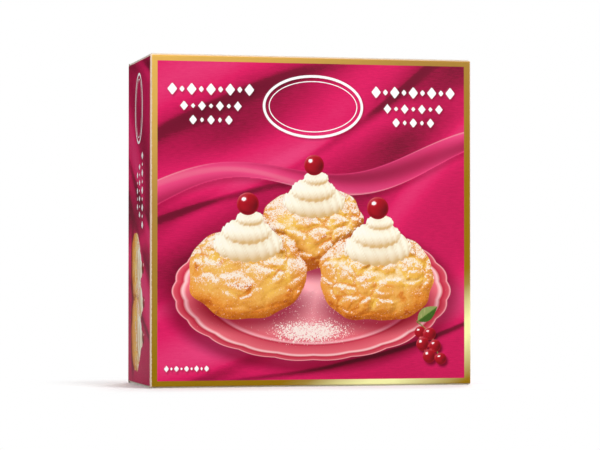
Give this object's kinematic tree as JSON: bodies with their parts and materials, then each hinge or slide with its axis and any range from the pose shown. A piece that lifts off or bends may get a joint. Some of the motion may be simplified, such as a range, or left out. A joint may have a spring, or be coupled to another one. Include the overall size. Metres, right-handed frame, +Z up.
{
  "type": "cream puff carton",
  "caption": "Shut folding carton for frozen cream puffs: square front panel, shallow sides, glued end flaps, standing on its lower end.",
  "frame": {"origin": "middle of the base, on the surface that the carton stands on", "axes": "+Z up, front panel facing -Y, +X to the right seen from the front"},
  "size_m": [0.19, 0.075, 0.19],
  "materials": {
    "printed_board": "cartonboard with satin-varnished print"
  },
  "bodies": {
    "root": {"carton": "printed_board"}
  },
  "joints": []
}
